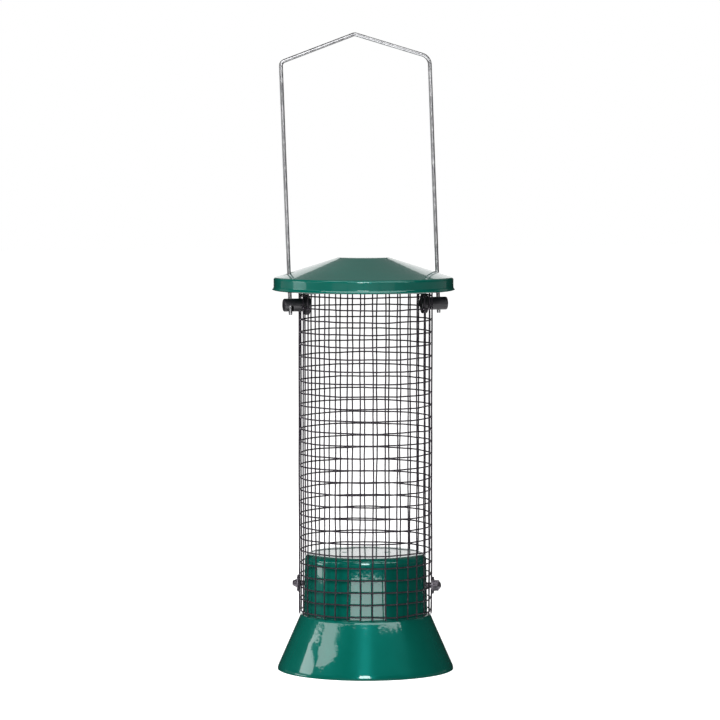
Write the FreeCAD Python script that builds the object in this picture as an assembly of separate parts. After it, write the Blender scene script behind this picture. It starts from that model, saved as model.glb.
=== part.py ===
import FreeCAD, Part
import math
import os

from FreeCAD import Vector

# Hanging bird feeder: a tube of welded wire mesh on a pressed steel base, under a pressed steel
# lid that slides up the two legs of a wire bail. The bail turns in two plastic posts in the mesh.
# Millimetres. The origin is the centre of the base's bottom rim, +Z up. The two posts lie along
# X, the left one on the -X side. Bearings are degrees about +Z, measured from +X.

STEEL_SHEET = 0.8

# Mesh tube.
WIRE_RADIUS = 0.375
MESH_PITCH = 6.35
UPRIGHT_COUNT = 33
UPRIGHT_CIRCLE = 34.75
WELD_DEPTH = 0.06
HOOP_CIRCLE = UPRIGHT_CIRCLE - 2 * WIRE_RADIUS + WELD_DEPTH
HOOP_COUNT = 28
FIRST_HOOP_Z = 30.8
MESH_FOOT_Z = 29.3
MESH_TOP_Z = 205.4
UPRIGHT_STEP = 360 / UPRIGHT_COUNT
POST_SPREAD = 7.0  # degrees from the left post to the two uprights pushed apart by it

# Base: a raised cup inside the mesh, a ledge under it, and a flared skirt down to the rim.
RIM_RADIUS = 46.2
RIM_HEIGHT = 1.2
LEDGE_Z = 29.0
LEDGE_RADIUS = 34.0
CUP_FOOT_RADIUS = 32.5
CUP_TOP_RADIUS = 31.8
CUP_TOP_Z = 61.0
RIM_BEND = 5.0
LEDGE_BEND = 0.9
CUP_FOOT_BEND = 0.5
CUP_TOP_BEND = 3.5
DRAIN_RADIUS = 1.5
DRAIN_OFFSET = 11.1
DRAIN_BEARING = -14.5

# Lid: a turned-down rim with a small outward lip, a shallow cone and a flat crown.
LID_CENTRE_X = -1.1
LIP_RADIUS = 47.95
LIP_Z = 199.0
LIP_HEIGHT = 1.2
LID_RADIUS = 47.1
LID_SHOULDER_Z = 205.3
CROWN_RADIUS = 13.4
CROWN_Z = 215.8
LIP_BEND = 1.0
LID_SHOULDER_BEND = 1.4
CROWN_BEND = 3.0
LID_HOLE_RADIUS = 1.6

# Bail, in its own plane: across from its middle, and up from the posts' axis.
PIVOT_Z = 191.25
BAIL_RADIUS = 1.0
BAIL_LEAN = 2.2  # degrees, the top towards -X
BAIL_CENTRE_X = -0.5
LEG_OFFSET = 39.9
TIP_DROP = 5.1
SHOULDER_RISE = 127.3
PEAK_RISE = 140.5
LEFT_SHOULDER_BEND = 2.7
PEAK_BEND = 3.0
RIGHT_SHOULDER_BEND = 5.6
CRIMP_RADIUS = 1.2
CRIMP_WIDTH = 1.5
CRIMP_DROP = 1.4

# Pivot posts: a barrel through the mesh, a flange inside it, a hole and a half slot for the leg.
BARREL_RADIUS = 3.4
BARREL_END = 44.0
BARREL_EDGE = 0.6
FLANGE_RADIUS = 5.25
FLANGE_OUTER = 33.0
FLANGE_THICKNESS = 2.4
FLANGE_EDGE = 0.5
HUB_RADIUS = 3.2
HUB_HEIGHT = 0.8
LEG_HOLE_RADIUS = 1.25
SLOT_RADIUS = 1.4
SLOT_PAST_AXIS = 0.95
POST_CLEARANCE = 0.4

# Through bolt that holds the mesh to the cup.
BOLT_Z = 44.2
BOLT_BEARING = -2 * UPRIGHT_STEP  # of the nut's end
BOLT_RADIUS = 1.45
BOLT_HOLE_RADIUS = 1.7
MESH_HOLE_RADIUS = 1.9
WASHER_INNER = 1.6
WASHER_OUTER = 4.5
WASHER_THICKNESS = 0.8
WASHER_FACE = UPRIGHT_CIRCLE + WIRE_RADIUS + 0.02
HEAD_RADIUS = 2.45
HEAD_TIP_RADIUS = 1.3
HEAD_HEIGHT = 2.7
HEAD_ROUND = 0.4
RECESS_LENGTH = 2.0
RECESS_WIDTH = 0.6
RECESS_DEPTH = 0.9
NUT_ACROSS_FLATS = 5.5
NUT_HEX_HEIGHT = 2.6
NUT_DOME_RADIUS = 2.45
NUT_DOME_HEIGHT = 1.35
NUT_BORE_RADIUS = 1.5
NUT_BORE_DEPTH = 2.9
BOLT_ENGAGEMENT = 2.6

UP = Vector(0, 0, 1)


def polar(radius, bearing, z=0.0):
    """A point at a radius and bearing about the Z axis."""
    angle = math.radians(bearing)
    return Vector(radius * math.cos(angle), radius * math.sin(angle), z)


def rounded_edges(points, bends):
    """Edges of straight runs through the points, with a tangent arc of each bend radius."""
    edges = []
    start = points[0]
    for before, corner, after, bend in zip(points, points[1:], points[2:], bends):
        back = (before - corner).normalize()
        ahead = (after - corner).normalize()
        half_angle = back.getAngle(ahead) / 2
        reach = bend / math.tan(half_angle)
        middle = (back + ahead).normalize()
        arc_start = corner + back * reach
        arc_end = corner + ahead * reach
        arc_middle = corner + middle * (bend / math.sin(half_angle) - bend)
        edges.append(Part.LineSegment(start, arc_start).toShape())
        edges.append(Part.Arc(arc_start, arc_middle, arc_end).toShape())
        start = arc_end
    edges.append(Part.LineSegment(start, points[-1]).toShape())
    return edges


def left_normal(start, end):
    """Unit normal in the XZ plane, to the left of the way from start to end."""
    way = (end - start).normalize()
    return Vector(-way.z, 0, way.x)


def offset_outline(points, bends, distance):
    """The outline moved to its left by a distance, and the bend radii that follow it."""
    normals = [left_normal(a, b) for a, b in zip(points, points[1:])]
    moved = [points[0] + normals[0] * distance]
    moved_bends = []
    for corner, first, second, bend in zip(points[1:], normals, normals[1:], bends):
        diagonal = first + second
        moved.append(corner + diagonal * (2 * distance / diagonal.Length ** 2))
        turns_left = first.x * second.z - first.z * second.x > 0
        moved_bends.append(bend - distance if turns_left else bend + distance)
    moved.append(points[-1] + normals[-1] * distance)
    return moved, moved_bends


def pressed_sheet(outline, bends):
    """A sheet-metal body of revolution from its outer outline, rim first and axis last."""
    outer = [Vector(radius, 0, z) for radius, z in outline]
    inner, inner_bends = offset_outline(outer, bends, STEEL_SHEET)
    edges = rounded_edges(outer, bends) + rounded_edges(inner, inner_bends)
    edges.append(Part.LineSegment(outer[0], inner[0]).toShape())
    edges.append(Part.LineSegment(outer[-1], inner[-1]).toShape())
    section = Part.Face(Part.Wire(Part.__sortEdges__(edges)))
    return section.revolve(Vector(0, 0, 0), UP, 360)


def radial_cylinder(radius, bearing, start, end, z):
    """A cylinder that lies along a bearing, between two distances from the Z axis."""
    return Part.makeCylinder(radius, end - start, polar(start, bearing, z), polar(1, bearing))


def make_base():
    outline = [
        (RIM_RADIUS, 0),
        (RIM_RADIUS, RIM_HEIGHT),
        (LEDGE_RADIUS, LEDGE_Z),
        (CUP_FOOT_RADIUS, LEDGE_Z),
        (CUP_TOP_RADIUS, CUP_TOP_Z),
        (0, CUP_TOP_Z),
    ]
    base = pressed_sheet(outline, [RIM_BEND, LEDGE_BEND, CUP_FOOT_BEND, CUP_TOP_BEND])
    reach = CUP_FOOT_RADIUS + 1
    holes = [radial_cylinder(BOLT_HOLE_RADIUS, BOLT_BEARING, -reach, reach, BOLT_Z)]
    for side in (-1, 1):
        spot = polar(side * DRAIN_OFFSET, DRAIN_BEARING, CUP_TOP_Z - 2 * STEEL_SHEET)
        holes.append(Part.makeCylinder(DRAIN_RADIUS, 3 * STEEL_SHEET, spot, UP))
    return base.cut(holes)


def make_lid():
    outline = [
        (LIP_RADIUS, LIP_Z),
        (LID_RADIUS, LIP_Z + LIP_HEIGHT),
        (LID_RADIUS, LID_SHOULDER_Z),
        (CROWN_RADIUS, CROWN_Z),
        (0, CROWN_Z),
    ]
    lid = pressed_sheet(outline, [LIP_BEND, LID_SHOULDER_BEND, CROWN_BEND])
    depth = CROWN_Z - LIP_Z
    holes = [
        Part.makeCylinder(LID_HOLE_RADIUS, depth, Vector(side * LEG_OFFSET, 0, LIP_Z), UP)
        for side in (-1, 1)
    ]
    lid = lid.cut(holes)
    lid.translate(Vector(LID_CENTRE_X, 0, 0))
    return lid


def leg_drop(drop, side):
    """How far down a leg, before the bail is leaned, is a drop below the posts' axis after it."""
    return drop + side * LEG_OFFSET * math.tan(math.radians(BAIL_LEAN))


def make_bail():
    """The bent wire, made upright about the posts' axis and then leaned."""
    points = [
        Vector(-LEG_OFFSET, 0, -leg_drop(TIP_DROP, -1)),
        Vector(-LEG_OFFSET, 0, SHOULDER_RISE),
        Vector(0, 0, PEAK_RISE),
        Vector(LEG_OFFSET, 0, SHOULDER_RISE),
        Vector(LEG_OFFSET, 0, -leg_drop(TIP_DROP, 1)),
    ]
    bends = [LEFT_SHOULDER_BEND, PEAK_BEND, RIGHT_SHOULDER_BEND]
    path = Part.Wire(rounded_edges(points, bends))
    section = Part.Wire(Part.makeCircle(BAIL_RADIUS, points[0], UP))
    bail = path.makePipeShell([section], True, True)
    for side in (-1, 1):
        height = -leg_drop(CRIMP_DROP, side)
        centre = Vector(side * LEG_OFFSET, -CRIMP_WIDTH / 2, height)
        crimp = Part.makeCylinder(CRIMP_RADIUS, CRIMP_WIDTH, centre, Vector(0, 1, 0))
        bail = bail.fuse(crimp)
    bail.rotate(Vector(0, 0, 0), Vector(0, 1, 0), -BAIL_LEAN)
    bail.translate(Vector(BAIL_CENTRE_X, 0, PIVOT_Z))
    return bail


def make_post(side):
    """One post along X, side -1 on the left and 1 on the right, its slot open to side * Y."""
    outward = Vector(side, 0, 0)

    def disc(radius, start, end):
        return Part.makeCylinder(radius, end - start, outward * start, outward)

    flange_inner = FLANGE_OUTER - FLANGE_THICKNESS
    barrel = disc(BARREL_RADIUS, flange_inner, BARREL_END)
    barrel = barrel.makeFillet(BARREL_EDGE, edges_at(barrel, side * BARREL_END))
    flange = disc(FLANGE_RADIUS, flange_inner, FLANGE_OUTER)
    flange = flange.makeFillet(FLANGE_EDGE, edges_at(flange, side * FLANGE_OUTER))
    hub = disc(HUB_RADIUS, flange_inner - HUB_HEIGHT, FLANGE_OUTER)
    hub = hub.makeFillet(FLANGE_EDGE, edges_at(hub, side * (flange_inner - HUB_HEIGHT)))
    leg_x = BAIL_CENTRE_X + side * LEG_OFFSET
    leg_hole = Part.makeCylinder(
        LEG_HOLE_RADIUS, 2 * FLANGE_RADIUS, Vector(leg_x, 0, -FLANGE_RADIUS), UP
    )
    post = barrel.fuse([flange, hub]).cut([leg_hole, leg_slot(leg_x, side)]).removeSplitter()
    post.translate(Vector(0, 0, PIVOT_Z))
    return post


def edges_at(shape, x):
    """The edges that lie in the plane at x."""
    return [
        edge
        for edge in shape.Edges
        if abs(edge.BoundBox.XMin - x) < 1e-6 and abs(edge.BoundBox.XMax - x) < 1e-6
    ]


def leg_slot(leg_x, side):
    """The round-topped slot in a post's lower half that shows the end of the leg."""
    depth = BARREL_RADIUS + 1 + SLOT_PAST_AXIS
    start = -SLOT_PAST_AXIS if side > 0 else -(BARREL_RADIUS + 1)
    top = Part.makeCylinder(
        SLOT_RADIUS, depth, Vector(leg_x, start, -CRIMP_DROP), Vector(0, 1, 0)
    )
    corner = Vector(leg_x - SLOT_RADIUS, start, -FLANGE_RADIUS)
    below = Part.makeBox(2 * SLOT_RADIUS, depth, FLANGE_RADIUS - CRIMP_DROP, corner)
    return top.fuse(below)


def mesh_holes():
    """Bearing, height and radius of the holes punched in the mesh for the posts and the bolt."""
    post_hole = BARREL_RADIUS + POST_CLEARANCE
    return [
        (0, PIVOT_Z, post_hole),
        (180, PIVOT_Z, post_hole),
        (BOLT_BEARING % 360, BOLT_Z, MESH_HOLE_RADIUS),
        (BOLT_BEARING + 180, BOLT_Z, MESH_HOLE_RADIUS),
    ]


def half_chord(radius, offset):
    """Half the width of a round hole, across a line at an offset from its middle."""
    return math.sqrt(radius ** 2 - offset ** 2) if abs(offset) < radius else 0


def upright_bearings():
    """Bearings of the uprights, which start on the right post's axis."""
    bearings = [UPRIGHT_STEP * index for index in range(UPRIGHT_COUNT)]
    beside = UPRIGHT_STEP / 2
    for index, bearing in enumerate(bearings):
        offset = bearing - 180
        if abs(abs(offset) - beside) < 1e-6:
            bearings[index] = 180 + math.copysign(POST_SPREAD, offset)
    return bearings


def make_upright(bearing):
    """One upright from the ledge to the top, left out where it meets a punched hole."""
    ends = [MESH_FOOT_Z]
    for hole_bearing, hole_z, hole_radius in mesh_holes():
        turn = math.radians(bearing - hole_bearing)
        half = half_chord(hole_radius, UPRIGHT_CIRCLE * math.sin(turn)) if math.cos(turn) > 0 else 0
        if half:
            ends += [hole_z - half, hole_z + half]
    ends.append(MESH_TOP_Z)
    return [
        Part.makeCylinder(WIRE_RADIUS, top - foot, polar(UPRIGHT_CIRCLE, bearing, foot), UP)
        for foot, top in zip(ends[::2], ends[1::2])
    ]


def make_uprights():
    solids = []
    for bearing in upright_bearings():
        solids += make_upright(bearing)
    return Part.makeCompound(solids)


def hoop_arc(start, end, z):
    """The stretch of a hoop between two bearings."""
    section = Part.makeCircle(WIRE_RADIUS, Vector(HOOP_CIRCLE, 0, z), Vector(0, 1, 0))
    arc = Part.Face(Part.Wire(section)).revolve(Vector(0, 0, 0), UP, end - start)
    arc.rotate(Vector(0, 0, 0), UP, start)
    return arc


def make_hoop(index):
    """One hoop, a full ring unless punched holes cut it."""
    z = FIRST_HOOP_Z + index * MESH_PITCH
    cuts = []
    for hole_bearing, hole_z, hole_radius in mesh_holes():
        half = half_chord(hole_radius, z - hole_z)
        if half:
            spread = math.degrees(math.asin(half / HOOP_CIRCLE))
            cuts.append((hole_bearing - spread, hole_bearing + spread))
    if not cuts:
        return Part.makeTorus(HOOP_CIRCLE, WIRE_RADIUS, Vector(0, 0, z), UP)
    cuts.sort()
    starts = [end for _, end in cuts]
    ends = [start for start, _ in cuts[1:]] + [cuts[0][0] + 360]
    return Part.makeCompound([hoop_arc(a, b, z) for a, b in zip(starts, ends)])


def place_on_bolt_line(shape):
    """Turn a shape made along X at the origin onto the bolt's line."""
    shape.rotate(Vector(0, 0, 0), UP, BOLT_BEARING)
    shape.translate(Vector(0, 0, BOLT_Z))
    return shape


def make_washer(side):
    way = Vector(side, 0, 0)
    disc = Part.makeCylinder(WASHER_OUTER, WASHER_THICKNESS, way * WASHER_FACE, way)
    hole = Part.makeCylinder(WASHER_INNER, WASHER_THICKNESS, way * WASHER_FACE, way)
    return place_on_bolt_line(disc.cut(hole))


def make_bolt():
    """The bolt, its low conical head at the -X end, with a cross recess."""
    seat = WASHER_FACE + WASHER_THICKNESS
    head_end = -(seat + HEAD_HEIGHT)
    shank = Part.makeCylinder(
        BOLT_RADIUS, 2 * seat + BOLT_ENGAGEMENT, Vector(-seat, 0, 0), Vector(1, 0, 0)
    )
    head = Part.makeCone(
        HEAD_RADIUS, HEAD_TIP_RADIUS, HEAD_HEIGHT, Vector(-seat, 0, 0), Vector(-1, 0, 0)
    )
    head = head.makeFillet(HEAD_ROUND, edges_at(head, head_end))
    half_length = RECESS_LENGTH / 2
    half_width = RECESS_WIDTH / 2
    bars = [
        Part.makeBox(RECESS_DEPTH, 2 * y, 2 * z, Vector(head_end, -y, -z))
        for y, z in ((half_length, half_width), (half_width, half_length))
    ]
    return place_on_bolt_line(shank.fuse(head).cut(bars).removeSplitter())


def make_cap_nut():
    """The domed nut at the +X end: a hexagon with flats up and down, and a low dome."""
    seat = WASHER_FACE + WASHER_THICKNESS
    corner_radius = NUT_ACROSS_FLATS / math.sqrt(3)
    corners = [
        Vector(
            seat,
            corner_radius * math.cos(math.radians(60 * turn)),
            corner_radius * math.sin(math.radians(60 * turn)),
        )
        for turn in range(7)
    ]
    hexagon = Part.Face(Part.makePolygon(corners)).extrude(Vector(NUT_HEX_HEIGHT, 0, 0))
    ball_radius = (NUT_DOME_RADIUS ** 2 + NUT_DOME_HEIGHT ** 2) / (2 * NUT_DOME_HEIGHT)
    top = seat + NUT_HEX_HEIGHT + NUT_DOME_HEIGHT
    ball = Part.makeSphere(ball_radius, Vector(top - ball_radius, 0, 0))
    around = Part.makeCylinder(
        NUT_DOME_RADIUS, top - seat, Vector(seat, 0, 0), Vector(1, 0, 0)
    )
    bore = Part.makeCylinder(
        NUT_BORE_RADIUS, NUT_BORE_DEPTH, Vector(seat, 0, 0), Vector(1, 0, 0)
    )
    dome = around.common(ball)
    return place_on_bolt_line(hexagon.fuse(dome).cut(bore).removeSplitter())


def main():
    nodes = {
        "base": make_base(),
        "lid": make_lid(),
        "bail_handle": make_bail(),
        "left_pivot_post": make_post(-1),
        "right_pivot_post": make_post(1),
        "mesh_upright_wires": make_uprights(),
        "base_bolt": make_bolt(),
        "head_washer": make_washer(-1),
        "nut_washer": make_washer(1),
        "cap_nut": make_cap_nut(),
    }
    for index in range(HOOP_COUNT):
        nodes[f"mesh_hoop_{index + 1:02d}"] = make_hoop(index)
    os.makedirs("parts", exist_ok=True)
    for name, shape in nodes.items():
        if not shape.isValid():
            raise ValueError(f"{name} is not a valid shape")
        shape.exportStep(f"parts/{name}.step")
        print(f"{name}: {len(shape.Solids)} solids, {shape.Volume:.1f} mm3")


main()
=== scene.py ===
import math

import bpy
from mathutils import Matrix, Vector, noise


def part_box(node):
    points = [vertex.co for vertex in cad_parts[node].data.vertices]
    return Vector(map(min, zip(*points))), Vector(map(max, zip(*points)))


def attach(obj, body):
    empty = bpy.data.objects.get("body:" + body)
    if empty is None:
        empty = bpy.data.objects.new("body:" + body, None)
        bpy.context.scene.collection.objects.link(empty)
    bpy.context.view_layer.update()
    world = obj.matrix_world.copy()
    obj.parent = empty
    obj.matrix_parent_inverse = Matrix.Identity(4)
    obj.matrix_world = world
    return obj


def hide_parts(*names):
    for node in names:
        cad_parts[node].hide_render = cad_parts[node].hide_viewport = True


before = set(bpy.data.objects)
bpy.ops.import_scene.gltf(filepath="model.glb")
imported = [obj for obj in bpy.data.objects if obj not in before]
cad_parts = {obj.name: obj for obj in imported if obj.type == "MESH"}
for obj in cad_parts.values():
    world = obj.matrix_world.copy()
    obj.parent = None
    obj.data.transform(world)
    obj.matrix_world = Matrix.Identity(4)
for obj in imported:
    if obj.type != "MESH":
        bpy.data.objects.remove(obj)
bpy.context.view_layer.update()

# The looks of the hanging bird feeder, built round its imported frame. Lengths in this script are
# millimetres, and MM turns them into Blender's metres. Bearings are degrees about +Z from +X.
# Stage bearings are degrees round the object from the camera, to the viewer's right.
MM = 0.001

# Camera.
VIEW_TURN = -14.4
CAMERA_DISTANCE = 1927.9
CAMERA_SIDE = -2.9
CAMERA_HEIGHT = 288.8
CAMERA_PITCH = 3.763
CAMERA_LENS = 184.9
CAMERA_SENSOR = 36
AIM_HEIGHT = 120

# Brightness of the surround to matt and to glossy surfaces.
SURROUND = 0.3
GLOSS_SURROUND = 0.012

# Distances of the reflector cards, the floor's half size and the floor's own glow.
SCREEN_DISTANCE = 540
BACKDROP_DISTANCE = 1800
FLOOR_HALF_SIZE = 6000
FLOOR_EMISSION = 0.86

# The range that most of a noise texture's values lie in.
NOISE_RANGE = (0.3, 0.7)

# Pressed steel.
STEEL_SHEET = 0.8
CUT_EDGE_ROUND = 0.16
RIM_HEIGHT = 1.2
LEDGE_Z = 29.0
LEDGE_RADIUS = 34.0
CUP_FOOT_RADIUS = 32.5
CUP_TOP_RADIUS = 31.8
BASE_BENDS = (5.0, 1.4, 0.5, 3.5)
DRAIN_RADIUS = 1.5
DRAIN_OFFSET = 11.1
DRAIN_BEARING = -14.5
LIP_Z = 199.0
LIP_HEIGHT = 1.2
LID_RADIUS = 47.1
LID_SHOULDER_Z = 205.3
CROWN_RADIUS = 13.4
LID_BENDS = (1.0, 1.4, 3.0)
LID_HOLE_RADIUS = 1.6
LID_HOLE_OFFSET = 39.9

# Welded mesh.
WIRE_RADIUS = 0.375
MESH_PITCH = 6.35
UPRIGHT_COUNT = 33
UPRIGHT_CIRCLE = 34.75
HOOP_CIRCLE = 34.06
HOOP_COUNT = 28
UPRIGHT_STEP = 360 / UPRIGHT_COUNT
POST_SPREAD = 7.0
MESH_HOLE_AT_POST = 3.8
MESH_HOLE_AT_BOLT = 1.9
NUGGET_HALF_DEPTH = 0.52
NUGGET_HALF_WIDTH = 0.46

# How far hand work strays from the drawing. A sway is its slow part and its quick part.
BASE_UNEVENNESS = 0.025
LID_UNEVENNESS = 0.06
MESH_SWELL = 0.12
UPRIGHT_SWAY = (0.26, 0.07)
HOOP_SWAY = (0.20, 0.06)

# How finely shapes are drawn: millimetres along a sheet, degrees round it, and sides of a wire.
SHEET_STEP = 0.8
TURN_STEP = 1.25
WIRE_SIDES = 10
BAIL_SIDES = 20
NUGGET_RINGS = 4
NUGGET_SIDES = 8

# Bail and bolt line.
PIVOT_Z = 191.25
BAIL_RADIUS = 1.0
BAIL_LEAN = 2.2
BAIL_CENTRE_X = -0.5
LEG_OFFSET = 39.9
TIP_DROP = 5.1
SHOULDER_RISE = 127.3
PEAK_RISE = 140.5
BAIL_BENDS = (2.7, 3.0, 5.6)
CRIMP_DROP = 1.4
BOLT_Z = 44.2
BOLT_BEARING = -2 * UPRIGHT_STEP
BOLT_HOLE_RADIUS = 1.7


def polar(radius, bearing, z=0.0):
    """A point at a radius and bearing about the Z axis."""
    angle = math.radians(bearing)
    return Vector((radius * math.cos(angle), radius * math.sin(angle), z))


def wander(*place):
    """Smooth noise from about -1 to 1 at up to three coordinates, the same on every run."""
    return 2 * noise.noise(Vector((*place, *[0.37] * (3 - len(place)))))


def make_object(name, vertices, faces, materials, face_materials=None):
    """A smooth-shaded mesh object from millimetre vertices."""
    mesh = bpy.data.meshes.new(name)
    mesh.from_pydata([Vector(v) * MM for v in vertices], [], faces)
    for material in materials:
        mesh.materials.append(material)
    if face_materials:
        mesh.polygons.foreach_set("material_index", face_materials)
    mesh.polygons.foreach_set("use_smooth", [True] * len(mesh.polygons))
    mesh.update()
    made = bpy.data.objects.new(name, mesh)
    bpy.context.scene.collection.objects.link(made)
    return made


def settle(piece, body, slot, *nodes):
    """Put a finished piece on its body in place of its CAD nodes; the slot it is given is not used."""
    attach(piece, body)
    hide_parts(*nodes)


def apply_modifiers(piece, sharp_angle):
    """Bake the modifiers into the mesh, and shade edges over an angle as sharp."""
    graph = bpy.context.evaluated_depsgraph_get()
    mesh = bpy.data.meshes.new_from_object(piece.evaluated_get(graph), depsgraph=graph)
    piece.modifiers.clear()
    piece.data = mesh
    mesh.polygons.foreach_set("use_smooth", [True] * len(mesh.polygons))
    mesh.set_sharp_from_angle(angle=math.radians(sharp_angle))


# ---------------------------------------------------------------- materials


def new_material(name):
    material = bpy.data.materials.new(name)
    material.use_nodes = True
    return material


def add_node(material, kind, **settings):
    """A shader node with its inputs or properties set by name."""
    node = material.node_tree.nodes.new(kind)
    for key, value in settings.items():
        if key in node.inputs:
            node.inputs[key].default_value = value
        else:
            setattr(node, key, value)
    return node


def link(material, source, target):
    material.node_tree.links.new(source, target)


def noise_factor(material, scale, detail, coordinates=None):
    """The Fac output of a noise of a given scale per metre over the object's coordinates."""
    texture = add_node(material, "ShaderNodeTexNoise", Scale=scale, Detail=detail)
    if coordinates is None:
        coordinates = add_node(material, "ShaderNodeTexCoord").outputs["Object"]
    link(material, coordinates, texture.inputs["Vector"])
    return texture.outputs["Fac"]


def ramp(material, factor, *stops):
    """A colour ramp from (position, colour) stops."""
    node = material.node_tree.nodes.new("ShaderNodeValToRGB")
    elements = node.color_ramp.elements
    while len(elements) < len(stops):
        elements.new(0.5)
    for element, (position, colour) in zip(elements, stops):
        element.position = position
        element.color = (*colour, 1)
    link(material, factor, node.inputs["Fac"])
    return node.outputs["Color"]


def map_value(material, factor, low, high):
    """A noise factor stretched from its usual range to a new one."""
    node = add_node(material, "ShaderNodeMapRange")
    for socket, value in zip(list(node.inputs)[1:5], (*NOISE_RANGE, low, high)):
        socket.default_value = value
    link(material, factor, node.inputs["Value"])
    return node.outputs["Result"]


def bump(material, height, distance):
    """A bump of a real depth in millimetres."""
    node = add_node(material, "ShaderNodeBump", Strength=1.0, Distance=distance * MM)
    link(material, height, node.inputs["Height"])
    return node.outputs["Normal"]


def set_shader(material, **values):
    shader = material.node_tree.nodes["Principled BSDF"]
    for name, value in values.items():
        shader.inputs[name.replace("_", " ")].default_value = value
    return shader


def green_paint():
    """Gloss enamel on steel: a deep green with faint clouding, and orange peel in the coat."""
    paint = new_material("green_enamel")
    shader = set_shader(paint, IOR=1.5, Coat_Weight=1.0, Coat_Roughness=0.018, Coat_IOR=1.5)
    shader.inputs["Specular IOR Level"].default_value = 0.3
    shader.inputs["Specular Tint"].default_value = (0.05, 0.9, 0.86, 1)
    clouds = noise_factor(paint, 55, 3)
    colour = ramp(
        paint,
        clouds,
        (0.3, (0.0008, 0.104, 0.076)),
        (0.5, (0.0010, 0.111, 0.082)),
        (0.72, (0.0014, 0.119, 0.088)),
    )
    link(paint, colour, shader.inputs["Base Color"])
    link(paint, map_value(paint, noise_factor(paint, 240, 2), 0.22, 0.27), shader.inputs["Roughness"])
    peel = bump(paint, noise_factor(paint, 620, 2), 0.009)
    link(paint, peel, shader.inputs["Coat Normal"])
    grain = bump(paint, noise_factor(paint, 2600, 2), 0.004)
    link(paint, grain, shader.inputs["Normal"])
    return paint


def galvanised_wire():
    """Drawn zinc-coated wire: a mid grey metal with dull patches and fine lengthwise scratches."""
    zinc = new_material("galvanised_wire")
    shader = set_shader(zinc, Metallic=1.0)
    coordinates = add_node(zinc, "ShaderNodeTexCoord").outputs["Object"]
    along = add_node(zinc, "ShaderNodeMapping")
    along.inputs["Scale"].default_value = (1, 1, 0.06)
    link(zinc, coordinates, along.inputs["Vector"])
    streaks = noise_factor(zinc, 3800, 3, along.outputs["Vector"])
    patches = noise_factor(zinc, 300, 4)
    both = add_node(zinc, "ShaderNodeMix", data_type="FLOAT")
    both.inputs[0].default_value = 0.45
    link(zinc, patches, both.inputs[2])
    link(zinc, streaks, both.inputs[3])
    colour = ramp(
        zinc,
        both.outputs[0],
        (0.3, (0.22, 0.22, 0.23)),
        (0.5, (0.37, 0.37, 0.38)),
        (0.7, (0.54, 0.54, 0.55)),
    )
    link(zinc, colour, shader.inputs["Base Color"])
    link(zinc, map_value(zinc, patches, 0.28, 0.46), shader.inputs["Roughness"])
    link(zinc, bump(zinc, streaks, 0.012), shader.inputs["Normal"])
    return zinc


def black_plastic():
    """Moulded black nylon with a fine spark-eroded grain."""
    plastic = new_material("black_plastic")
    shader = set_shader(plastic, IOR=1.5)
    grain = noise_factor(plastic, 5200, 3)
    patches = noise_factor(plastic, 700, 3)
    colour = ramp(plastic, patches, (0.35, (0.014, 0.013, 0.017)), (0.7, (0.026, 0.024, 0.031)))
    link(plastic, colour, shader.inputs["Base Color"])
    link(plastic, map_value(plastic, grain, 0.34, 0.5), shader.inputs["Roughness"])
    link(plastic, bump(plastic, grain, 0.02), shader.inputs["Normal"])
    return plastic


def coated_wire():
    """Thin dark coating on the mesh wire, with the zinc showing through where it is thinnest."""
    coat = new_material("coated_mesh_wire")
    shader = set_shader(coat, IOR=1.5, Specular_IOR_Level=0.28)
    patches = noise_factor(coat, 900, 4)
    colour = ramp(
        coat,
        patches,
        (0.35, (0.014, 0.010, 0.016)),
        (0.6, (0.028, 0.021, 0.031)),
        (0.78, (0.100, 0.085, 0.108)),
    )
    link(coat, colour, shader.inputs["Base Color"])
    link(coat, map_value(coat, patches, 0.34, 0.52), shader.inputs["Roughness"])
    link(coat, bump(coat, noise_factor(coat, 2600, 3), 0.03), shader.inputs["Normal"])
    return coat


def weld_metal():
    """The squeezed nuggets at the crossings, where the coating is worn bright."""
    weld = new_material("weld_nugget")
    shader = set_shader(weld, Metallic=0.5)
    spots = noise_factor(weld, 1500, 2)
    colour = ramp(weld, spots, (0.36, (0.07, 0.06, 0.075)), (0.56, (0.46, 0.42, 0.47)))
    link(weld, colour, shader.inputs["Base Color"])
    link(weld, map_value(weld, spots, 0.45, 0.28), shader.inputs["Roughness"])
    link(weld, bump(weld, noise_factor(weld, 4200, 2), 0.04), shader.inputs["Normal"])
    return weld


def dark_hardware():
    """Blackened steel, slightly oily, rubbed brighter in patches."""
    steel = new_material("dark_hardware")
    shader = set_shader(steel, Metallic=0.7)
    patches = noise_factor(steel, 1100, 4)
    colour = ramp(steel, patches, (0.35, (0.06, 0.052, 0.064)), (0.72, (0.24, 0.22, 0.25)))
    link(steel, colour, shader.inputs["Base Color"])
    link(steel, map_value(steel, patches, 0.42, 0.26), shader.inputs["Roughness"])
    link(steel, bump(steel, noise_factor(steel, 5200, 2), 0.012), shader.inputs["Normal"])
    return steel


# ---------------------------------------------------------------- pressed steel


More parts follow.
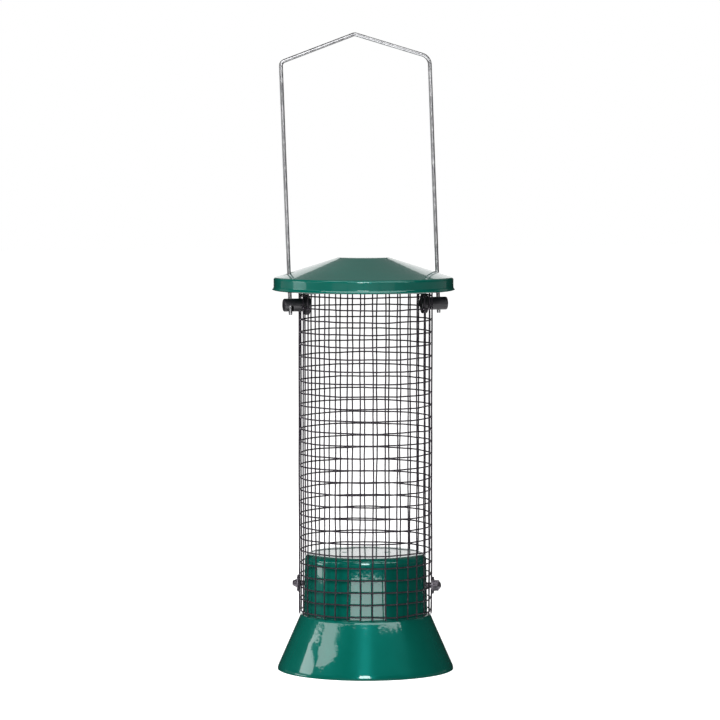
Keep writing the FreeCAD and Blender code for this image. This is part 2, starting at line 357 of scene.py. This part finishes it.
def rounded_outline(points, bends, step):
    """Points along straight runs joined by tangent arcs, about a step apart on the runs."""
    corners = [Vector(p) for p in points]
    made = [corners[0]]

    def run_to(target):
        start = made[-1].copy()
        count = max(1, round((target - start).length / step))
        made.extend(start.lerp(target, index / count) for index in range(1, count + 1))

    for before, corner, after, bend in zip(corners, corners[1:], corners[2:], bends):
        back = (before - corner).normalized()
        ahead = (after - corner).normalized()
        half_angle = back.angle(ahead) / 2
        centre = corner + (back + ahead).normalized() * (bend / math.sin(half_angle))
        run_to(corner + back * (bend / math.tan(half_angle)))
        start = made[-1] - centre
        turn = (math.pi - 2 * half_angle) * (1 if back.cross(ahead) < 0 else -1)
        count = max(4, round(abs(turn) / math.radians(5)))
        for index in range(1, count + 1):
            made.append(centre + Matrix.Rotation(turn * index / count, 2) @ start)
    run_to(corners[-1])
    return made


def bearings_with(step, fine_step, reach, *fine_at):
    """Bearings all round, closer together within reach of the ones given."""
    found = set(round(step * index, 4) for index in range(round(360 / step)))
    for centre in fine_at:
        count = round(reach / fine_step)
        found |= {round((centre + fine_step * i) % 360, 4) for i in range(-count, count + 1)}
    ordered = sorted(found)
    return [b for b, after in zip(ordered, ordered[1:] + [ordered[0] + 360]) if after - b > fine_step / 3]


def turned_sheet(name, outline, bearings, holes, press, material):
    """A sheet turned about Z from its outer outline, pierced by holes, thickened inwards.

    The outline ends on the axis. Each hole is (a point on its line, its direction, its radius)."""
    vertices = []
    for radius, z in outline[:-1]:
        for bearing in bearings:
            vertices.append(polar(radius + press(radius, z, bearing), bearing, z))
    vertices.append(Vector((0, 0, outline[-1][1])))
    around = len(bearings)
    faces = []
    for ring in range(len(outline) - 2):
        low, high = ring * around, (ring + 1) * around
        for index in range(around):
            after = (index + 1) % around
            faces.append((low + index, low + after, high + after, high + index))
    last = (len(outline) - 2) * around
    faces += [(last + i, last + (i + 1) % around, len(vertices) - 1) for i in range(around)]
    faces = pierce(vertices, faces, holes)
    sheet = make_object(name, vertices, faces, [material])
    sheet.data.validate()
    thickness = sheet.modifiers.new("thickness", "SOLIDIFY")
    thickness.thickness = STEEL_SHEET * MM
    thickness.offset = -1
    thickness.use_even_offset = True
    edge = sheet.modifiers.new("cut_edges", "BEVEL")
    edge.width = CUT_EDGE_ROUND * MM
    edge.segments = 2
    edge.limit_method = "ANGLE"
    edge.angle_limit = math.radians(50)
    return sheet


def offset_from_line(vertex, point, direction):
    """How a vertex lies from a line: its offset across the line, and its distance along it."""
    offset = vertex - point
    along = offset.dot(direction)
    return offset - direction * along, along


def pierce(vertices, faces, holes):
    """Drop the faces that reach into a hole, and draw the edge that is left onto its circle."""
    for point, direction, radius in holes:
        inside = set()
        for index, vertex in enumerate(vertices):
            across, along = offset_from_line(vertex, point, direction)
            if across.length < radius and along > 0:
                inside.add(index)
        cut = [face for face in faces if inside & set(face)]
        faces = [face for face in faces if not inside & set(face)]
        kept = {index for face in faces for index in face}
        for index in {index for face in cut for index in face} & kept:
            across, _ = offset_from_line(vertices[index], point, direction)
            vertices[index] -= across * (1 - radius / across.length)
    used = sorted({index for face in faces for index in face})
    renumbered = {old: new for new, old in enumerate(used)}
    vertices[:] = [vertices[old] for old in used]
    return [tuple(renumbered[index] for index in face) for face in faces]


def make_base(material):
    """The base pressing: skirt, ledge and raised cup, with its bolt and drain holes."""
    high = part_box("base")[1]
    rim_radius = high.x / MM
    cup_top = high.z / MM
    outline = rounded_outline(
        [
            (rim_radius, 0),
            (rim_radius, RIM_HEIGHT),
            (LEDGE_RADIUS, LEDGE_Z),
            (CUP_FOOT_RADIUS, LEDGE_Z),
            (CUP_TOP_RADIUS, cup_top),
            (0, cup_top),
        ],
        BASE_BENDS,
        SHEET_STEP,
    )
    bolt_way = polar(1, BOLT_BEARING)
    up = Vector((0, 0, 1))
    holes = [(Vector((0, 0, BOLT_Z)), way, BOLT_HOLE_RADIUS) for way in (bolt_way, -bolt_way)]
    for side in (-1, 1):
        holes.append((polar(side * DRAIN_OFFSET, DRAIN_BEARING), up, DRAIN_RADIUS))

    def press(radius, z, bearing):
        """The slight unevenness of a pressing, which fades out at the rim and the cup."""
        share = max(0.0, min(1.0, (LEDGE_Z - z) / 6, z / 6))
        angle = math.radians(bearing)
        return BASE_UNEVENNESS * share * wander(1.7 * math.cos(angle), 1.7 * math.sin(angle), z / 16)

    bearings = bearings_with(TURN_STEP, 0.5, 5, BOLT_BEARING % 360, BOLT_BEARING + 180)
    base = turned_sheet("base_pressing", outline, bearings, holes, press, material)
    apply_modifiers(base, 35)
    settle(base, "feeder", "green_paint", "base")


def make_lid(material):
    """The lid pressing: lip, turned-down rim, shallow cone and crown, with two wire holes."""
    low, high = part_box("lid")
    centre_x = (low.x + high.x) / 2 / MM
    crown_z = high.z / MM
    lip_radius = (high.x - low.x) / 2 / MM
    outline = rounded_outline(
        [
            (lip_radius, LIP_Z),
            (LID_RADIUS, LIP_Z + LIP_HEIGHT),
            (LID_RADIUS, LID_SHOULDER_Z),
            (CROWN_RADIUS, crown_z),
            (0, crown_z),
        ],
        LID_BENDS,
        SHEET_STEP,
    )
    up = Vector((0, 0, 1))
    holes = [(Vector((side * LID_HOLE_OFFSET, 0, 0)), up, LID_HOLE_RADIUS) for side in (-1, 1)]

    def press(radius, z, bearing):
        """The slight unevenness of the spun cone between the crown and the shoulder."""
        share = max(0.0, min(1.0, (radius - CROWN_RADIUS - 2) / 6, (LID_RADIUS - 3 - radius) / 6))
        angle = math.radians(bearing)
        return LID_UNEVENNESS * share * wander(1.3 * math.cos(angle), 1.3 * math.sin(angle), radius / 14)

    bearings = bearings_with(TURN_STEP, 0.4, 4, 0, 180)
    lid = turned_sheet("lid_pressing", outline, bearings, holes, press, material)
    apply_modifiers(lid, 35)
    lid.data.transform(Matrix.Translation((centre_x * MM, 0, 0)))
    settle(lid, "lid", "green_paint", "lid")


# ---------------------------------------------------------------- wire work


def add_tube(vertices, faces, points, reference, sides, radii, closed=False):
    """A round wire through the points. The reference gives each section's first direction, and
    radii gives each section's two half widths, along that direction and across it."""
    first = len(vertices)
    count = len(points)
    for index, point in enumerate(points):
        before = points[index - 1] if index or closed else point
        after = points[(index + 1) % count] if index < count - 1 or closed else point
        way = (after - before).normalized()
        out = reference(point)
        out = (out - way * out.dot(way)).normalized()
        across = way.cross(out)
        half_out, half_across = radii(index)
        for side in range(sides):
            angle = 2 * math.pi * side / sides
            vertices.append(
                point + out * (half_out * math.cos(angle)) + across * (half_across * math.sin(angle))
            )
    for index in range(count if closed else count - 1):
        low = first + index * sides
        high = first + (index + 1) % count * sides
        for side in range(sides):
            after = (side + 1) % sides
            faces.append((low + side, low + after, high + after, high + side))
    if not closed:
        faces.append(tuple(first + side for side in reversed(range(sides))))
        faces.append(tuple(first + (count - 1) * sides + side for side in range(sides)))


def mesh_swell(bearing, z):
    """How far the rolled mesh stands out of its true circle at a place on it."""
    angle = math.radians(bearing)
    swell = MESH_SWELL * wander(1.1 * math.cos(angle), 1.1 * math.sin(angle), z / 42)
    nearest = min(hole_distance(bearing, z, hole) - hole[2] for hole in mesh_holes())
    return swell * max(0.0, min(1.0, nearest / 8))


def mesh_holes():
    """Bearing, height and radius of the holes punched in the mesh for the posts and the bolt."""
    return [
        (0, PIVOT_Z, MESH_HOLE_AT_POST),
        (180, PIVOT_Z, MESH_HOLE_AT_POST),
        (BOLT_BEARING % 360, BOLT_Z, MESH_HOLE_AT_BOLT),
        (BOLT_BEARING + 180, BOLT_Z, MESH_HOLE_AT_BOLT),
    ]


def turn_between(bearing, other):
    """The signed angle from one bearing to another, in degrees."""
    return (bearing - other + 180) % 360 - 180


def hole_distance(bearing, z, hole):
    across = UPRIGHT_CIRCLE * math.radians(turn_between(bearing, hole[0]))
    return math.hypot(across, z - hole[1])


def upright_bearings():
    """Bearings of the uprights, which start on the right post's axis."""
    bearings = [UPRIGHT_STEP * index for index in range(UPRIGHT_COUNT)]
    beside = UPRIGHT_STEP / 2
    for index, bearing in enumerate(bearings):
        offset = bearing - 180
        if abs(abs(offset) - beside) < 1e-6:
            bearings[index] = 180 + math.copysign(POST_SPREAD, offset)
    return bearings


def upright_sway(index, z):
    """How far an upright strays round the tube, in millimetres."""
    long_sway, short_sway = UPRIGHT_SWAY
    return long_sway * wander(index * 3.7, z / 30) + short_sway * wander(index * 5.3, z / 5)


def hoop_sway(index, bearing):
    """How far a hoop strays up or down, in millimetres."""
    angle = math.radians(bearing)
    long_sway, short_sway = HOOP_SWAY
    slow = wander(1.9 * math.cos(angle), 1.9 * math.sin(angle), index * 2.9)
    return long_sway * slow + short_sway * wander(bearing / 7, index * 4.1)


def wire_radii(index):
    """The half widths of the mesh wire, which is round and the same at every section."""
    return WIRE_RADIUS, WIRE_RADIUS


def make_uprights(material):
    low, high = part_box("mesh_upright_wires")
    foot, top = low.z / MM, high.z / MM
    vertices, faces = [], []
    steps = round((top - foot) / MESH_PITCH * 4)
    for index, bearing in enumerate(upright_bearings()):
        runs = [[foot]]
        for hole_bearing, hole_z, hole_radius in sorted(mesh_holes(), key=lambda hole: hole[1]):
            offset = UPRIGHT_CIRCLE * math.radians(turn_between(bearing, hole_bearing))
            if abs(offset) < hole_radius:
                half = math.sqrt(hole_radius ** 2 - offset ** 2)
                runs[-1].append(hole_z - half)
                runs.append([hole_z + half])
        runs[-1].append(top)
        for start, end in runs:
            heights = [foot + (top - foot) * step / steps for step in range(steps + 1)]
            inner = [z for z in heights if start + 0.3 < z < end - 0.3]
            points = []
            for z in [start, *inner, end]:
                strayed = bearing + math.degrees(upright_sway(index, z) / UPRIGHT_CIRCLE)
                points.append(polar(UPRIGHT_CIRCLE + mesh_swell(bearing, z), strayed, z))
            add_tube(vertices, faces, points, lambda p: Vector((p.x, p.y, 0)), WIRE_SIDES, wire_radii)
    uprights = make_object("mesh_uprights", vertices, faces, [material])
    uprights.data.set_sharp_from_angle(angle=math.radians(60))
    settle(uprights, "feeder", "coated_mesh_wire", "mesh_upright_wires")


def add_nugget(vertices, faces, centre, bearing):
    """A small flattened bead, the squeezed metal where an upright is welded to a hoop."""
    out = polar(1, bearing)
    across = Vector((-out.y, out.x, 0))
    first = len(vertices)
    rings, sides = NUGGET_RINGS, NUGGET_SIDES
    for ring in range(1, rings):
        tilt = math.pi * ring / rings
        for side in range(sides):
            angle = 2 * math.pi * side / sides
            vertices.append(
                centre
                + out * (NUGGET_HALF_DEPTH * math.cos(tilt))
                + across * (NUGGET_HALF_WIDTH * math.sin(tilt) * math.cos(angle))
                + Vector((0, 0, NUGGET_HALF_WIDTH * math.sin(tilt) * math.sin(angle)))
            )
    for ring in range(rings - 2):
        low, high = first + ring * sides, first + (ring + 1) * sides
        for side in range(sides):
            after = (side + 1) % sides
            faces.append((low + side, high + side, high + after, low + after))
    faces.append(tuple(first + side for side in range(sides)))
    faces.append(tuple(first + (rings - 2) * sides + side for side in reversed(range(sides))))


def make_hoop(index, coat, weld):
    """One hoop of the mesh with its weld nuggets, cut where a punched hole meets it."""
    node = f"mesh_hoop_{index + 1:02d}"
    low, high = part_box(node)
    z = (low.z + high.z) / 2 / MM
    cuts = []
    for hole_bearing, hole_z, hole_radius in mesh_holes():
        offset = abs(z - hole_z)
        if offset < hole_radius:
            spread = math.degrees(math.sqrt(hole_radius ** 2 - offset ** 2) / HOOP_CIRCLE)
            cuts.append((hole_bearing - spread, hole_bearing + spread))
    cuts.sort()
    if cuts:
        starts = [end for _, end in cuts]
        ends = [start for start, _ in cuts[1:]] + [cuts[0][0] + 360]
    else:
        starts, ends = [0], [360]
    vertices, faces = [], []
    for start, end in zip(starts, ends):
        count = round((end - start) / UPRIGHT_STEP * 6)
        points = []
        for step in range(count if not cuts else count + 1):
            bearing = start + (end - start) * step / count
            radius = HOOP_CIRCLE + mesh_swell(bearing, z)
            points.append(polar(radius, bearing, z + hoop_sway(index, bearing)))
        add_tube(vertices, faces, points, lambda p: Vector((0, 0, 1)), WIRE_SIDES, wire_radii, not cuts)
    wire_faces = len(faces)
    for upright, bearing in enumerate(upright_bearings()):
        if min(hole_distance(bearing, z, hole) - hole[2] for hole in mesh_holes()) < 0.4:
            continue
        strayed = bearing + math.degrees(upright_sway(upright, z) / UPRIGHT_CIRCLE)
        middle = (HOOP_CIRCLE + UPRIGHT_CIRCLE) / 2 + 0.02 + mesh_swell(bearing, z)
        add_nugget(vertices, faces, polar(middle, strayed, z + hoop_sway(index, strayed)), strayed)
    slots = [0] * wire_faces + [1] * (len(faces) - wire_faces)
    hoop = make_object(f"mesh_hoop_wire_{index + 1:02d}", vertices, faces, [coat, weld], slots)
    hoop.data.set_sharp_from_angle(angle=math.radians(70))
    settle(hoop, "feeder", "coated_mesh_wire", node)


def leg_drop(drop, side):
    """How far down a leg, before the bail is leaned, is a drop below the posts' axis after it."""
    return drop + side * LEG_OFFSET * math.tan(math.radians(BAIL_LEAN))


def make_bail(material):
    """The bent bail wire, its two ends pinched flat under the posts' axis so they can't pull out."""
    route = rounded_outline(
        [
            (-LEG_OFFSET, -leg_drop(TIP_DROP, -1)),
            (-LEG_OFFSET, SHOULDER_RISE),
            (0, PEAK_RISE),
            (LEG_OFFSET, SHOULDER_RISE),
            (LEG_OFFSET, -leg_drop(TIP_DROP, 1)),
        ],
        BAIL_BENDS,
        1.2,
    )
    lean = Matrix.Rotation(math.radians(-BAIL_LEAN), 3, "Y")
    shift = Vector((BAIL_CENTRE_X, 0, PIVOT_Z))
    points = []
    for across, rise in route:
        stray = 0.10 * wander(across / 30, rise / 26) * max(0.0, min(1.0, (rise - 20) / 20))
        points.append(lean @ Vector((across, stray, rise)) + shift)

    def radii(index):
        across, rise = route[index]
        side = math.copysign(1, across)
        pinch = math.exp(-(((rise + leg_drop(CRIMP_DROP, side)) / 0.9) ** 2))
        end = 0.86 if rise < 0.2 - leg_drop(TIP_DROP, side) else 1.0
        return BAIL_RADIUS * end * (1 - 0.27 * pinch), BAIL_RADIUS * end * (1 + 0.22 * pinch)

    vertices, faces = [], []
    add_tube(vertices, faces, points, lambda p: Vector((0, 1, 0)), BAIL_SIDES, radii)
    bail = make_object("bail_wire", vertices, faces, [material])
    bail.data.set_sharp_from_angle(angle=math.radians(50))
    settle(bail, "bail", "galvanised_wire", "bail_handle")


def dress_cad_node(node, material):
    """Give a carried-over CAD node its finish."""
    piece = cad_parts[node]
    for holder in piece.material_slots:
        holder.material = material


# ---------------------------------------------------------------- stage


def stage_point(bearing, distance, height):
    """A place round the object, seen from the camera's side, in metres."""
    turn = math.radians(VIEW_TURN + bearing - 90)
    return Vector((distance * math.cos(turn), distance * math.sin(turn), height)) * MM


def softbox(name, bearing, distance, height, size, power):
    """A soft area light aimed at the object's middle, which glossy surfaces don't reflect."""
    light = bpy.data.lights.new(name, "AREA")
    light.shape = "RECTANGLE"
    light.size, light.size_y = size[0] * MM, size[1] * MM
    light.energy = power
    lamp = bpy.data.objects.new(name, light)
    bpy.context.scene.collection.objects.link(lamp)
    lamp.location = stage_point(bearing, distance, height)
    lamp.visible_camera = False
    lamp.visible_glossy = False
    lamp.rotation_mode = "QUATERNION"
    way = Vector((0, 0, AIM_HEIGHT * MM)) - lamp.location
    lamp.rotation_quaternion = way.to_track_quat("-Z", "Y")


def card(name, strength, corners):
    """A glowing reflector card that only reflections see, with its corners as stage points."""
    glow = new_material(name)
    glow.node_tree.nodes.clear()
    out = add_node(glow, "ShaderNodeOutputMaterial")
    emission = add_node(glow, "ShaderNodeEmission", Strength=strength)
    link(glow, emission.outputs["Emission"], out.inputs["Surface"])
    mesh = bpy.data.meshes.new(name)
    mesh.from_pydata([stage_point(*corner) for corner in corners], [], [tuple(range(len(corners)))])
    mesh.materials.append(glow)
    made = bpy.data.objects.new(name, mesh)
    bpy.context.scene.collection.objects.link(made)
    made.visible_camera = False
    made.visible_shadow = False
    made.visible_diffuse = False


def outline_card(name, strength, distance, corners):
    """A card at one distance, from (bearing, height) corners."""
    card(name, strength, [(bearing, distance, height) for bearing, height in corners])


def upright_card(name, strength, side, distance, low, high):
    """A rectangular card that stands between two bearings."""
    left, right = side
    outline_card(name, strength, distance, [(left, low), (right, low), (right, high), (left, high)])


def curtain(name, strength, reach, distance, low, high):
    """A row of upright cards, bent round the front of the object to a bearing on each side."""
    count = math.ceil(reach / 10)
    half = reach / count
    for index in range(count):
        middle = half * (2 * index + 1 - count)
        side = (middle - half, middle + half)
        upright_card(f"{name}_{index + 1}", strength, side, distance, low, high)


def make_floor():
    """A plain pale floor under the rim, bright enough to meet the white surround."""
    size = FLOOR_HALF_SIZE * MM
    floor_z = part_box("base")[0].z
    mesh = bpy.data.meshes.new("floor")
    corners = [(-size, -size), (size, -size), (size, size), (-size, size)]
    mesh.from_pydata([(x, y, floor_z) for x, y in corners], [], [(0, 1, 2, 3)])
    pale = new_material("pale_floor")
    shader = set_shader(pale, Base_Color=(0.8, 0.8, 0.8, 1), Roughness=0.9)
    shader.inputs["Emission Color"].default_value = (1, 1, 1, 1)
    shader.inputs["Emission Strength"].default_value = FLOOR_EMISSION
    mesh.materials.append(pale)
    floor = bpy.data.objects.new("floor", mesh)
    bpy.context.scene.collection.objects.link(floor)
    floor.visible_glossy = False
    floor.visible_diffuse = False


def make_world():
    """White to the camera, a soft surround to matt surfaces, and nearly dark to gloss, which
    takes its reflections from the cards."""
    world = bpy.data.worlds.new("surround")
    world.use_nodes = True
    nodes, links = world.node_tree.nodes, world.node_tree.links
    nodes.clear()
    out = nodes.new("ShaderNodeOutputWorld")
    path = nodes.new("ShaderNodeLightPath")

    def background(strength):
        node = nodes.new("ShaderNodeBackground")
        node.inputs["Color"].default_value = (1, 1, 1, 1)
        node.inputs["Strength"].default_value = strength
        return node.outputs["Background"]

    def mixed(ray, when_not, when):
        mix = nodes.new("ShaderNodeMixShader")
        links.new(path.outputs[ray], mix.inputs["Fac"])
        links.new(when_not, mix.inputs[1])
        links.new(when, mix.inputs[2])
        return mix.outputs["Shader"]

    soft = mixed("Is Glossy Ray", background(SURROUND), background(GLOSS_SURROUND))
    links.new(mixed("Is Camera Ray", soft, background(1.0)), out.inputs["Surface"])
    bpy.context.scene.world = world


def make_lights():
    """The lamps and reflector cards. The uneven outlines of the backdrop, the left screen, the left
    sheet and the top strip weren't designed here: many of their corners are close copies of numbers
    that a scratch script worked out from places picked on the reference picture's reflections."""
    softbox("key_left", -52, 1100, 820, (700, 700), 15)
    softbox("fill_right", 60, 1400, 600, (700, 900), 3.6)
    softbox("front_lamp", -1, 1600, 840, (430, 260), 7)
    upright_card("front_lamp_face", 17, (-8.5, 6.5), 1600, 480, 1180)
    curtain("front_haze", 0.55, 40, 1480, 40, 200)
    curtain("side_haze", 0.22, 130, 1500, 40, 200)
    upright_card("behind_above", 0.21, (120, 240), 1850, 600, 3600)
    outline_card(
        "backdrop",
        1.08,
        BACKDROP_DISTANCE,
        [
            (166, -600),
            (194, -600),
            (194, 860),
            (188.2, 950),
            (187, 900),
            (185.8, 700),
            (174.2, 700),
            (173, 900),
            (171.8, 970),
            (166, 860),
        ],
    )
    curtain("hood", 4.0, 70, 300, 520, 740)
    card(
        "floor_sheet",
        5.2,
        [(-29, 250, 1), (35, 250, 1), (35, 630, 1), (18, 655, 1), (0, 661, 1), (-15, 655, 1), (-29, 630, 1)],
    )
    card("floor_glow", 1.6, [(45 * turn, 340, -60) for turn in range(8)])
    upright_card("left_screen_foot", 4.2, (-101, -80), SCREEN_DISTANCE, 0, 60)
    upright_card("left_screen_middle", 1.6, (-97, -75), SCREEN_DISTANCE, 140, 195)
    outline_card(
        "left_screen_top",
        5.0,
        SCREEN_DISTANCE,
        [
            (-99, 196),
            (-99, 230),
            (-95, 254),
            (-79, 300),
            (-81, 292),
            (-91, 259),
            (-92, 251),
            (-81, 275),
            (-77.5, 278),
            (-77.5, 196),
        ],
    )
    outline_card(
        "left_sheet",
        4.5,
        SCREEN_DISTANCE,
        [
            (-92, 272),
            (-70, 340),
            (-45, 399),
            (-20, 436),
            (-22, 430),
            (-43, 396),
            (-55, 366),
            (-44, 381),
            (-53, 348),
            (-62, 316),
            (-67, 303),
            (-76, 279),
            (-74, 298),
            (-79, 292),
            (-75, 309),
            (-78, 307),
            (-93, 263),
        ],
    )
    strip = [(-21, 431, 540), (1, 443, 560), (28, 424, 545), (47, 389, 510), (67, 343, 440)]
    for index, (start, end) in enumerate(zip(strip, strip[1:])):
        corners = [(start[0], start[1]), (end[0], end[1]), (end[0], end[2]), (start[0], start[2])]
        outline_card(f"top_strip_{index + 1}", 4.5, SCREEN_DISTANCE, corners)
    outline_card("strip_hook", 4.5, SCREEN_DISTANCE, [(41, 405), (36, 411), (57, 366), (61, 361)])


def make_camera():
    data = bpy.data.cameras.new("camera")
    data.lens = CAMERA_LENS
    data.sensor_width = CAMERA_SENSOR
    camera = bpy.data.objects.new("camera", data)
    bpy.context.scene.collection.objects.link(camera)
    turn = Matrix.Rotation(math.radians(VIEW_TURN), 3, "Z")
    camera.location = turn @ Vector((CAMERA_SIDE, -CAMERA_DISTANCE, CAMERA_HEIGHT)) * MM
    camera.rotation_euler = (math.radians(90 - CAMERA_PITCH), 0, math.radians(VIEW_TURN))
    bpy.context.scene.camera = camera


make_camera()
make_world()
make_floor()
make_lights()

enamel = green_paint()
zinc = galvanised_wire()
plastic = black_plastic()
mesh_coat = coated_wire()
weld = weld_metal()
hardware = dark_hardware()

make_base(enamel)
make_lid(enamel)
make_uprights(mesh_coat)
for hoop_index in range(HOOP_COUNT):
    make_hoop(hoop_index, mesh_coat, weld)
make_bail(zinc)
for post in ("left_pivot_post", "right_pivot_post"):
    dress_cad_node(post, plastic)
for fitting in ("base_bolt", "head_washer", "nut_washer", "cap_nut"):
    dress_cad_node(fitting, hardware)

bpy.context.scene.view_settings.view_transform = "Standard"
